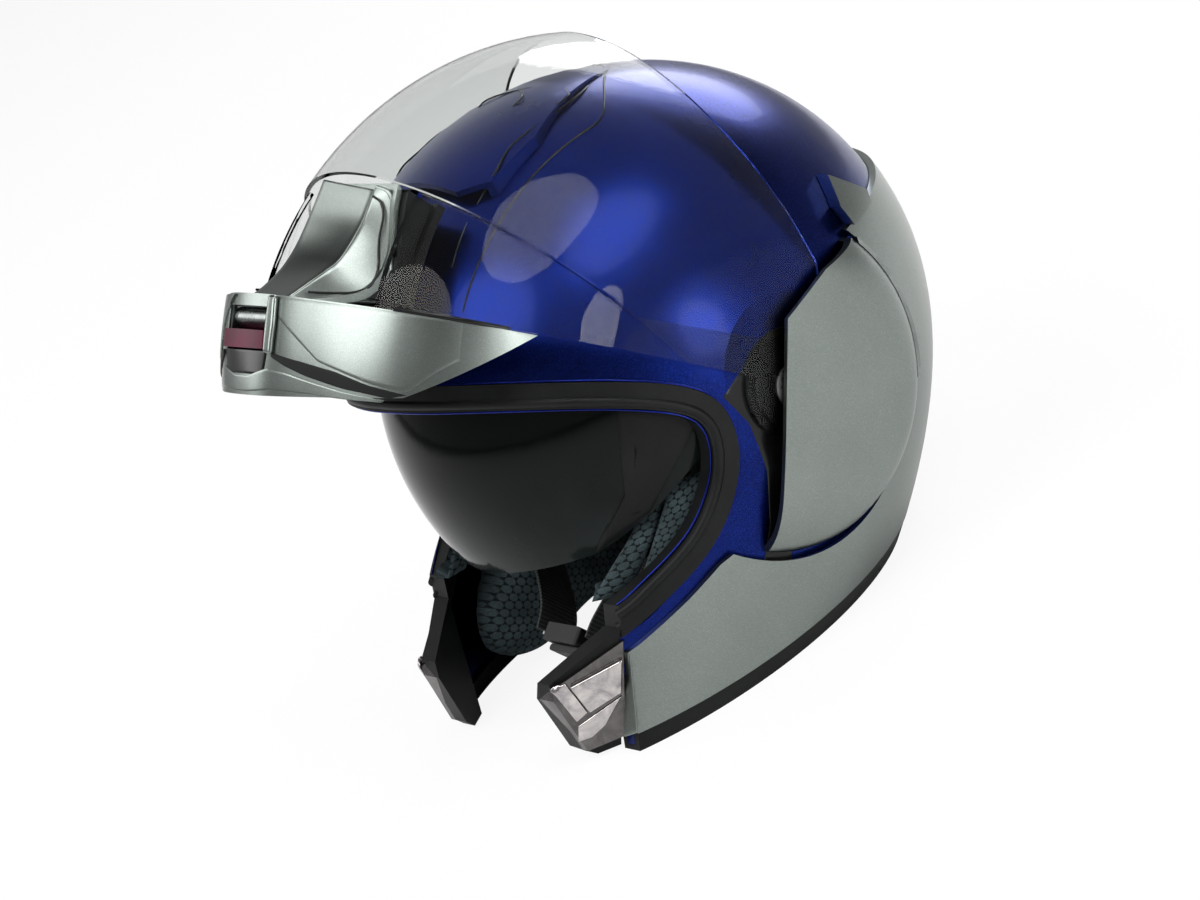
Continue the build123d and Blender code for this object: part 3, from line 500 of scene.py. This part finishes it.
def shell_point(y, z, grow=0.0):
    """Point of the shell's left side at a side-view place, or None off its outline."""
    if z > EQUATOR:
        tuck = 0
        rest = 1 - ((z - EQUATOR) / (CROWN + grow)) ** 2
    else:
        tuck = (1 - (z + PIVOT_HEIGHT) / (EQUATOR + PIVOT_HEIGHT)) ** 2
        rest = 1
    rest -= ((y - BEHIND + BASE_SHIFT * tuck) / (HALF_LENGTH - LENGTH_TUCK * tuck + grow)) ** 2
    if rest < 0:
        return None
    x = (HALF_WIDTH - WIDTH_TUCK * tuck + grow) * math.sqrt(rest)
    return place(min(x, SIDE_FLAT + grow), y, z)


PORT_SHARES = (
    (-1.45, 0.76), (-1.1, 0.66), (-0.867, 0.559), (-0.648, 0.432), (-0.478, 0.314), (-0.341, 0.19),
    (-0.283, 0.085), (-0.283, -0.04), (-0.341, -0.19), (-0.464, -0.339), (-0.648, -0.45),
    (-0.765, -0.505), (-1.1, -0.6), (-1.45, -0.68),
)
JAW_TOP, JAW_FOOT = (-109.1, -49.6), (-135.5, -125.1)


def port_line(offset, grow, count=90):
    """Line round the face opening from jaw end to jaw end, moved outwards by offset."""
    path = smooth_line([Vector((0, y * HALF_LENGTH, z * PIVOT_HEIGHT)) for y, z in PORT_SHARES], FINE_POINTS)
    half = []
    for before, here, after in zip(path, path[1:], path[2:]):
        run = (after - before).normalized()
        y, z = here.y - run.z * offset, here.z + run.y * offset
        jaw = JAW_TOP[0] + (z - JAW_TOP[1]) / (JAW_FOOT[1] - JAW_TOP[1]) * (JAW_FOOT[0] - JAW_TOP[0])
        spot = shell_point(y, z, grow)
        if spot and (z > JAW_TOP[1] or y > jaw):
            half.append(spot)
    return even_line(list(reversed(half)) + flipped(half), count)


# Face opening: two soft ribs round the seal, and the shell's rolled edges on both sides of it, in a lighter blue
# that is painted highlight
bead("seal_outer_rib", [port_line(2.6, -1.2)], 2.5, black_rubber, "helmet")
bead("seal_inner_rib", [port_line(-2.9, 0.1)], 2.5, black_rubber, "helmet")
# Rolled edges in the lighter blue: painted highlight
bead("shell_rolled_edge", [port_line(6.6, 0.1)], 0.55, blue_edge_painted_highlight, "helmet")
bead("shell_inner_edge", [port_line(-6.6, -0.6)], 0.5, blue_edge_painted_highlight, "helmet")

# Shell: pressed lines beside the vent, as the photograph shows them through the visor, drawn as gloss black beads
# that are painted shade in the grooves
shell_skin = skin_of("shell", "top_vent_scoop")
OUTER_LINE = (
    (611, 64), (604, 81), (604, 101), (600, 120), (576, 138), (549, 160), (515, 199), (490, 240), (472, 281),
    (463, 312),
)
INNER_LINE = (
    (595, 65), (586, 89), (556, 112), (527, 133), (511, 147), (494, 175), (480, 200), (462, 236), (452, 268),
)
TRAY_LINE = ((475, 106), (494, 93), (520, 91), (514, 106), (475, 106))
for name, pixels, radius in (
    ("shell_outer_groove", OUTER_LINE, 0.55),
    ("shell_inner_groove", INNER_LINE, 0.5),
    ("shell_tray_edge", TRAY_LINE, 0.4),
):
    line = seen(shell_skin, pixels)
    # Black bead along each pressed line: painted shade in the groove
    bead(name, [line, flipped(line)], radius, gloss_black_and_painted_shade, "helmet")

# Sun visor: black side hangers, ahead of which the smoke tint ends in an upright edge
sun_skin = skin_of("sun_visor")
HANGER_TOP = ((617, 409), (640, 408), (665, 408), (690, 410), (700, 416))
HANGER_LOW = ((627, 516), (645, 510), (663, 503), (681, 490), (694, 472))


def in_sight(skin, lift):
    """Move a point along the camera's sight line onto a skin, lifted off it by some millimetres."""
    def settle(point):
        near = Vector((abs(point.x), point.y, point.z))
        spot, normal, _, _ = skin.ray_cast(stand, (near - stand).normalized())
        if spot is None:
            spot, normal, _, _ = skin.find_nearest(near)
        spot = spot + normal * lift * MM
        return Vector((math.copysign(spot.x, point.x), spot.y, spot.z))
    return settle


panel(
    "sun_visor_hanger", both_sides(seen(sun_skin, HANGER_TOP), seen(sun_skin, HANGER_LOW)),
    in_sight(sun_skin, 0.3), 0.7,
    black_plastic, "sun_visor", columns=24, rows=12,
)

# Chin bar: the form is round about the pivot, so a place on it is x and an angle up from straight ahead
CHIN_SHARES = (
    (0.0, 1.0), (0.19, 0.99), (0.385, 0.95), (0.577, 0.897), (0.75, 0.825), (0.885, 0.73), (0.985, 0.58),
)
CHIN_HALF_WIDTH, NOSE_RADIUS = 104.0, 217.0
chin_profile = smooth_line([
    Vector((-CHIN_SHARES[1][0] * CHIN_HALF_WIDTH, CHIN_SHARES[1][1] * NOSE_RADIUS, 0)),
    *[Vector((x * CHIN_HALF_WIDTH, radius * NOSE_RADIUS, 0)) for x, radius in CHIN_SHARES],
], PROFILE_POINTS)


def chin_radius(x):
    """Radius of the chin bar's face at a distance from the middle."""
    for a, b in zip(chin_profile, chin_profile[1:]):
        if a.x <= abs(x) <= b.x:
            return a.y + (b.y - a.y) * (abs(x) - a.x) / (b.x - a.x)
    return chin_profile[-1].y


def on_chin(places, lift=0.0):
    """Points on the chin bar's face from pairs of x and angle."""
    points = []
    for x, angle in places:
        radius, turn = chin_radius(x) + lift, math.radians(angle)
        points.append(place(x, -radius * math.cos(turn), radius * math.sin(turn)))
    return points


def chin_settler(lift):
    """Move a point onto the chin bar's face, lifted by some millimetres."""
    def settle(point):
        x, y, z = (point - PIVOT) / MM
        return on_chin([(x, math.degrees(math.atan2(z, -y)))], lift)[0]
    return settle


def across(places):
    """A line on the chin bar from the wearer's right to the left, from its left half."""
    return [(-x, angle) for x, angle in reversed(places)] + list(places)


BAND_TOP = ((22, 34.6), (36, 33.8), (54.5, 32.6), (68, 31.0), (80.4, 29.7))
BAND_LOW = ((22, 34.0), (30, 32.9), (40, 31.9), (58, 30.4), (74.5, 29.2))
LIP_TOP = ((6, 31.6), (20, 32.6), (30, 32.2), (40, 31.4), (58, 30.0), (73, 29.0))
LIP_LOW = ((6, 29.7), (20, 30.0), (30, 29.9), (40, 29.7), (58, 29.1), (72, 28.7))
panel(
    "chin_side_band", both_sides(on_chin(BAND_TOP), on_chin(BAND_LOW)), chin_settler(0.1), 0.9,
    black_rubber, "chin_bar_unit",
)
panel(
    "chin_lower_lip", [(on_chin(across(LIP_TOP)), on_chin(across(LIP_LOW)))], chin_settler(0.3), 3.2,
    silver_lacquer, "chin_bar_unit", columns=90, edge=1.4, replaced=("chin_strip",),
)
FACET_TOP = ((13, 41.3), (40, 41.3), (70, 41.3), (88, 41.3), (101.5, 41.3))
FACET_LOW = ((46, 33.8), (56, 32.7), (68, 31.2), (80.2, 30.0), (92, 35.0), (101, 41.0))
panel(
    "chin_side_facet", both_sides(on_chin(FACET_TOP), on_chin(FACET_LOW)), chin_settler(0.1), 1.3,
    silver_lacquer, "chin_bar_unit", rows=14, edge=1.0,
)
RECESS_TOP, RECESS_LOW = ((-20, 34.7), (20, 34.7)), ((-18, 31.8), (18, 31.8))
panel(
    "chin_recess", [(on_chin(RECESS_TOP), on_chin(RECESS_LOW))], chin_settler(0.1), 0.6,
    gloss_black_and_painted_shade, "chin_bar_unit", columns=20,
)
MOUTH_INNER, MOUTH_OUTER = ((19.2, 41.4), (19.2, 38), (19.2, 34.5)), ((23.5, 41.4), (24.5, 38), (24, 34.3))
panel(
    "mouth_side_frame", both_sides(on_chin(MOUTH_INNER), on_chin(MOUTH_OUTER)), chin_settler(0.1), 3.0,
    silver_lacquer, "chin_bar_unit", columns=16, rows=3, edge=1.2,
)
clip_line = on_chin(((74, 41.7), (84, 41.7), (93, 41.7), (99, 41.7)), 0.2)
bead("visor_clip_rail", [clip_line, flipped(clip_line)], 1.1, gloss_black_and_painted_shade, "chin_bar_unit")

# Vent tower: a saddle from its top down to the nose, a flat face on each side, and a groove round each face drawn
# as a black bead of painted shade
SADDLE_FAR = (
    (325, 180, -20), (318, 198, -20), (309, 220, -20), (296, 248, -20), (280, 272, -20), (256, 295, -18),
)
SADDLE_NEAR = ((376, 190, 20), (362, 226, 20), (342, 259, 20), (328, 271, 20), (311, 283, 20), (287, 300, 19))
FACE_EDGE = (
    (377, 187, 20), (388, 192, 25), (394, 208, 28), (391, 250, 31), (386, 294, 34), (340, 302, 26),
    (287, 304, 20),
)
FACE_GROOVE = (
    (373, 196, 23), (381, 203, 26), (379, 240, 30), (372, 284, 33), (360, 291, 32), (330, 293, 28),
    (308, 292, 25),
)
saddle_far, saddle_near = sighted(SADDLE_FAR), sighted(SADDLE_NEAR)
saddle_edge = smooth_line(saddle_near, EDGE_POINTS)
panel(
    "tower_saddle", [(smooth_line(saddle_far, EDGE_POINTS), saddle_edge)], as_drawn, 1.0,
    silver_lacquer, "chin_bar_unit", columns=60, rows=12, edge=0.4,
)
face_edge = sighted(FACE_EDGE)
panel(
    "tower_side_face", both_sides(saddle_edge, smooth_line(face_edge, EDGE_POINTS)), as_drawn, 1.0,
    silver_lacquer, "chin_bar_unit", columns=60, rows=12, edge=0.4,
    replaced=("chin_vent_panel", "chin_vent_frame"),
)
bead("tower_rim", [face_edge, flipped(face_edge)], 1.3, silver_lacquer, "chin_bar_unit")
# Groove round each face: a black bead of painted shade
face_groove = sighted(FACE_GROOVE)
bead("tower_groove", [face_groove, flipped(face_groove)], 0.6, gloss_black_and_painted_shade, "chin_bar_unit")

# Pivot: a gloss black panel of painted shade in the well ahead of the side cover, with the ring screw that the
# hinge turns on
WELL_FRONT = ((-33, 14), (-27, -4), (-29, -28), (-38, -52), (-50, -70))
WELL_REAR = ((-8, 24), (-2, 0), (-9, -26), (-20, -50), (-36, -76))
well = both_sides(
    [shell_point(y, z) for y, z in WELL_FRONT], [shell_point(y, z) for y, z in WELL_REAR],
)


def on_shell(point):
    """Move a point sideways onto the shell's skin."""
    y, z = (point.y - PIVOT.y) / MM, (point.z - PIVOT.z) / MM
    spot = shell_point(y, z, 0.15)
    return Vector((math.copysign(spot.x, point.x), spot.y, spot.z))


# Black panel on the shell in the well: painted shade
panel("pivot_well", well, on_shell, 0.6, gloss_black_and_painted_shade, "helmet", rows=10)
RING_FORWARD, RING_HEIGHT, RING_OUT, RING_RADIUS, RING_POINTS = 20.0, 14.0, 120.6, 2.3, 16
ring = [
    place(RING_OUT, RING_RADIUS * math.cos(turn) - RING_FORWARD, RING_RADIUS * math.sin(turn) + RING_HEIGHT)
    for turn in [step * math.tau / RING_POINTS for step in range(RING_POINTS + 1)]
]
bead("ring_screw", [ring, flipped(ring)], 0.6, steel, "helmet")

# Jaw end: stepped chromium plates on the latch horn, and the silver edge behind it
jaw_skin = skin_of("lock_plate_left", "jaw_horn_left")
UPPER_PLATE = (((570, 686), (598, 671), (622, 658)), ((590, 711), (607, 700), (622, 691)))
FRONT_PLATE = (((551, 690), (564, 706), (577, 722)), ((565, 683), (577, 698), (588, 712)))
LOWER_PLATE = (((578, 726), (602, 709), (622, 695)), ((579, 741), (592, 737), (606, 724)))
for name, (first, second), lift, wall in (
    ("latch_upper_step", UPPER_PLATE, 0.0, 2.6), ("latch_front_step", FRONT_PLATE, 1.0, 1.2),
    ("latch_lower_step", LOWER_PLATE, 0.0, 1.0),
):
    panel(
        name, both_sides(seen(jaw_skin, first), seen(jaw_skin, second)), in_sight(jaw_skin, lift), wall,
        bright_chrome, "helmet", columns=12, rows=6, edge=0.6,
    )
CHAMFER_FRONT = ((624, 648, 80), (624, 690, 80), (624, 737, 80))
CHAMFER_REAR = ((629, 653, 87.6), (633, 693, 87.6), (637, 733, 87.6))
panel(
    "jaw_chamfer", both_sides(sighted(CHAMFER_FRONT), sighted(CHAMFER_REAR)), as_drawn, 0.8,
    silver_lacquer, "helmet", columns=12, rows=3, edge=0.3,
)


# Padding: each pad starts a little slack, is swelled as cloth, and is mapped for its knit
PAD_SLACK, PAD_MESH = 1.6, 4.5
PRESSURE, LAST_FRAME = 4.0, 20


def pad_mesh(node):
    """Merged copy of a pad's solid, drawn in by its slack and evenly meshed."""
    form = bmesh.new()
    form.from_mesh(nodes[node].data)
    bmesh.ops.remove_doubles(form, verts=form.verts, dist=0.01 * MM)
    for vertex in form.verts:
        vertex.normal_update()
    for vertex in form.verts:
        vertex.co -= vertex.normal * PAD_SLACK * MM
    mesh = bpy.data.meshes.new(node + "_start")
    form.to_mesh(mesh)
    form.free()
    start = bpy.data.objects.new(node + "_start", mesh)
    bpy.context.scene.collection.objects.link(start)
    remesh = start.modifiers.new("even", "REMESH")
    remesh.mode = "VOXEL"
    remesh.voxel_size = PAD_MESH * MM
    even = bpy.data.meshes.new_from_object(start.evaluated_get(bpy.context.evaluated_depsgraph_get()))
    bpy.data.objects.remove(start)
    return even


def add_pad(name, node, chart_centre, fill, swell=4.0):
    """Cushion in the place of a soft solid; swell caps how far its cover moves, in millimetres."""
    mesh = pad_mesh(node)
    piece = bpy.data.objects.new(name, mesh)
    bpy.context.scene.collection.objects.link(piece)
    return piece, [vertex.co.copy() for vertex in mesh.vertices], swell, node, chart_centre, fill


def finish_pads(pads):
    """Swell all the pads together, cap their moves, and give them their knit."""
    scene = bpy.context.scene
    for piece, *_ in pads:
        cloth = piece.modifiers.new("swell", "CLOTH")
        cloth.settings.use_pressure = True
        cloth.settings.uniform_pressure_force = PRESSURE
        cloth.settings.effector_weights.gravity = 0.0
        cloth.settings.quality = 4
        cloth.point_cache.frame_start = 1
        cloth.point_cache.frame_end = LAST_FRAME
    for step in range(1, LAST_FRAME + 1):
        scene.frame_set(step)
    view = bpy.context.evaluated_depsgraph_get()
    swelled = [
        [vertex.co.copy() for vertex in piece.evaluated_get(view).data.vertices] for piece, *_ in pads
    ]
    for piece, *_ in pads:
        piece.modifiers.clear()
    scene.frame_set(1)
    for (piece, start, swell, node, centre, fill), moved in zip(pads, swelled):
        mesh = piece.data
        for vertex, old, new in zip(mesh.vertices, start, moved):
            move = new - old
            vertex.co = old + move.normalized() * min(move.length, swell * MM) if move.length else old
        form = bmesh.new()
        form.from_mesh(mesh)
        bmesh.ops.smooth_vert(
            form, verts=form.verts, factor=0.5, use_axis_x=True, use_axis_y=True, use_axis_z=True,
        )
        chart = form.loops.layers.uv.new("UVMap")
        for face in form.faces:
            for loop in face.loops:
                spot = loop.vert.co
                if centre:
                    turn = math.atan2(spot.x, spot.y - centre[1])
                    loop[chart].uv = (turn * centre[0], spot.z)
                else:
                    loop[chart].uv = (spot.y, spot.z)
        form.to_mesh(mesh)
        form.free()
        mesh.materials.clear()
        mesh.materials.append(knit)
        mesh.polygons.foreach_set("use_smooth", [True] * len(mesh.polygons))
        round_off = piece.modifiers.new("round", "SUBSURF")
        round_off.levels = round_off.render_levels = 1
        dress(piece, "helmet", (node,))


finish_pads([
    add_pad("cheek_cushion_left", "cheek_pad_left", None, 0.7),
    add_pad("cheek_cushion_right", "cheek_pad_right", None, 0.7),
    add_pad("neck_cushion", "neck_roll", (0.1, 0.0), 0.7),
    add_pad("crown_cushion", "crown_pad", (0.1, 0.02), 0.5, swell=2.0),
])

# Near the seal each cheek has two narrow upright cushions, one behind the other
OUTER_ROLL = (
    ((706, 466, 99), (704, 501, 99), (689, 542, 96), (666, 580, 88), (655, 592, 84)),
    ((668, 486, 90), (663, 509, 89), (653, 542, 85), (643, 572, 80), (636, 590, 76)),
)
INNER_ROLL = (
    ((664, 490, 86), (658, 524, 83), (646, 556, 80), (636, 580, 76), (628, 594, 73)),
    ((646, 498, 77), (630, 536, 74), (612, 566, 71), (600, 586, 68), (592, 602, 65)),
)
for name, (outer, inner) in (("outer_cheek_roll", OUTER_ROLL), ("inner_cheek_roll", INNER_ROLL)):
    edges = [smooth_line(sighted(places), ROLL_POINTS) for places in (outer, inner)]
    roll = panel(
        name, both_sides(*edges), as_drawn, 9,
        knit, "helmet", columns=40, rows=14, edge=1.5, crown=4.0,
    )

# Chin strap: woven bands from under the cheek pads to the buckle, each along a smooth line through listed points
# in a slanted plane
STRAP_FORWARD, STRAP_HEIGHT, STRAP_SLOPE = 99.03, -89.0, 35.4
STRAP_WIDTH, STRAP_WALL = 22.0, 1.8
STRAP_LEFT = ((100, 67), (80, 60), (58, 46), (36, 29), (28.5, 12), (27.6, 0.5))
STRAP_RIGHT = ((-100, 67), (-80, 60), (-58, 46), (-36, 29), (-20, 13), (-15.5, 0.5))
slope = math.radians(STRAP_SLOPE)


def strap_place(x, reach, side):
    """Point in the strap's slanted plane, moved sideways across the webbing."""
    y = -STRAP_FORWARD + reach * math.cos(slope) - side * math.sin(slope)
    return place(x, y, STRAP_HEIGHT + reach * math.sin(slope) + side * math.cos(slope))


for name, places in (("strap_left", STRAP_LEFT), ("strap_right", STRAP_RIGHT)):
    edges = tuple(
        smooth_line([strap_place(x, reach, side) for x, reach in places], EDGE_POINTS)
        for side in (-STRAP_WIDTH / 2, STRAP_WIDTH / 2)
    )
    panel(
        name.replace("strap", "strap_web"), [edges], as_drawn, STRAP_WALL,
        webbing, "helmet", columns=60, rows=6, edge=0.4, replaced=(name,),
    )

# Studio: pale floor and five soft lamps
FLOOR_SIZE, PAPER_GLOW = 6, 0.9
# Point that the lamps face, in metres
MIDDLE = Vector((0, 0, 0.15))


def seen_ray(tree):
    """Socket that is 1 for the camera's rays, straight or through the visor, and 0 for all others."""
    path = add_node(tree, "ShaderNodeLightPath")
    return add_node(tree, "ShaderNodeMath", {
        0: path.outputs["Is Camera Ray"], 1: path.outputs["Is Transmission Ray"],
    }, operation="MAXIMUM").outputs[0]


floor_form = bmesh.new()
bmesh.ops.create_grid(floor_form, x_segments=1, y_segments=1, size=FLOOR_SIZE)
floor_mesh = bpy.data.meshes.new("floor")
floor_form.to_mesh(floor_mesh)
floor = bpy.data.objects.new("floor", floor_mesh)
bpy.context.scene.collection.objects.link(floor)
# Matt white paper: the camera sees it almost fully white, with the shadow kept faint
paper, tree, shader = start_material("matt white paper", Roughness=0.95, Specular_IOR_Level=0.1)
shader.inputs["Base Color"].default_value = linear("#f2f2f2")
share = add_node(tree, "ShaderNodeMath", {0: seen_ray(tree), 1: PAPER_GLOW}, operation="MULTIPLY")
glow = add_node(tree, "ShaderNodeEmission", {"Color": linear("#ffffff"), "Strength": 1.0})
paper_mix = add_node(tree, "ShaderNodeMixShader", {
    0: share.outputs[0], 1: shader.outputs["BSDF"], 2: glow.outputs["Emission"],
})
tree.links.new(paper_mix.outputs["Shader"], tree.nodes["Material Output"].inputs["Surface"])
floor_mesh.materials.append(paper)


def add_lamp(name, spot, width, height, power):
    """Soft box that faces the middle of the helmet."""
    data = bpy.data.lights.new(name, "AREA")
    data.energy = power
    data.shape = "ELLIPSE"
    data.size = width
    data.size_y = height
    lamp = bpy.data.objects.new(name, data)
    bpy.context.scene.collection.objects.link(lamp)
    lamp.location = spot
    lamp.rotation_euler = (Vector(spot) - MIDDLE).to_track_quat("Z", "Y").to_euler()


# Each lamp's name, place in metres, width, height and watts
LAMPS = (
    ("back softbox", (-0.9, 1.8, 1.2), 1.6, 1.1, 30),
    ("key softbox", (0.35, -1.4, 1.7), 1.5, 1.3, 27),
    ("top softbox", (1.0, 0.1, 1.6), 1.2, 0.8, 15),
    ("side softbox", (2.2, 0.3, 0.45), 0.6, 0.8, 13),
    ("far softbox", (-1.5, -1.0, 1.3), 1.3, 1.3, 15),
)
for lamp in LAMPS:
    add_lamp(*lamp)
world = bpy.data.worlds.new("studio")
bpy.context.scene.world = world
world.use_nodes = True
tree = world.node_tree
# White to the camera and through the visor; to everything else, pale walls under a dim ceiling
sky = tree.nodes["Background"]
heading = add_node(tree, "ShaderNodeTexCoord").outputs["Generated"]
rise = add_node(tree, "ShaderNodeSeparateXYZ", {"Vector": heading}).outputs["Z"]
walls = add_node(tree, "ShaderNodeMapRange", {
    "Value": rise, "From Min": 0.1, "From Max": 0.6, "To Min": 0.38, "To Max": 0.06,
})
shade = add_node(tree, "ShaderNodeMath", {0: seen_ray(tree), 1: walls.outputs["Result"]}, operation="MAXIMUM")
tree.links.new(shade.outputs[0], sky.inputs["Strength"])
sky.inputs["Color"].default_value = linear("#ffffff")
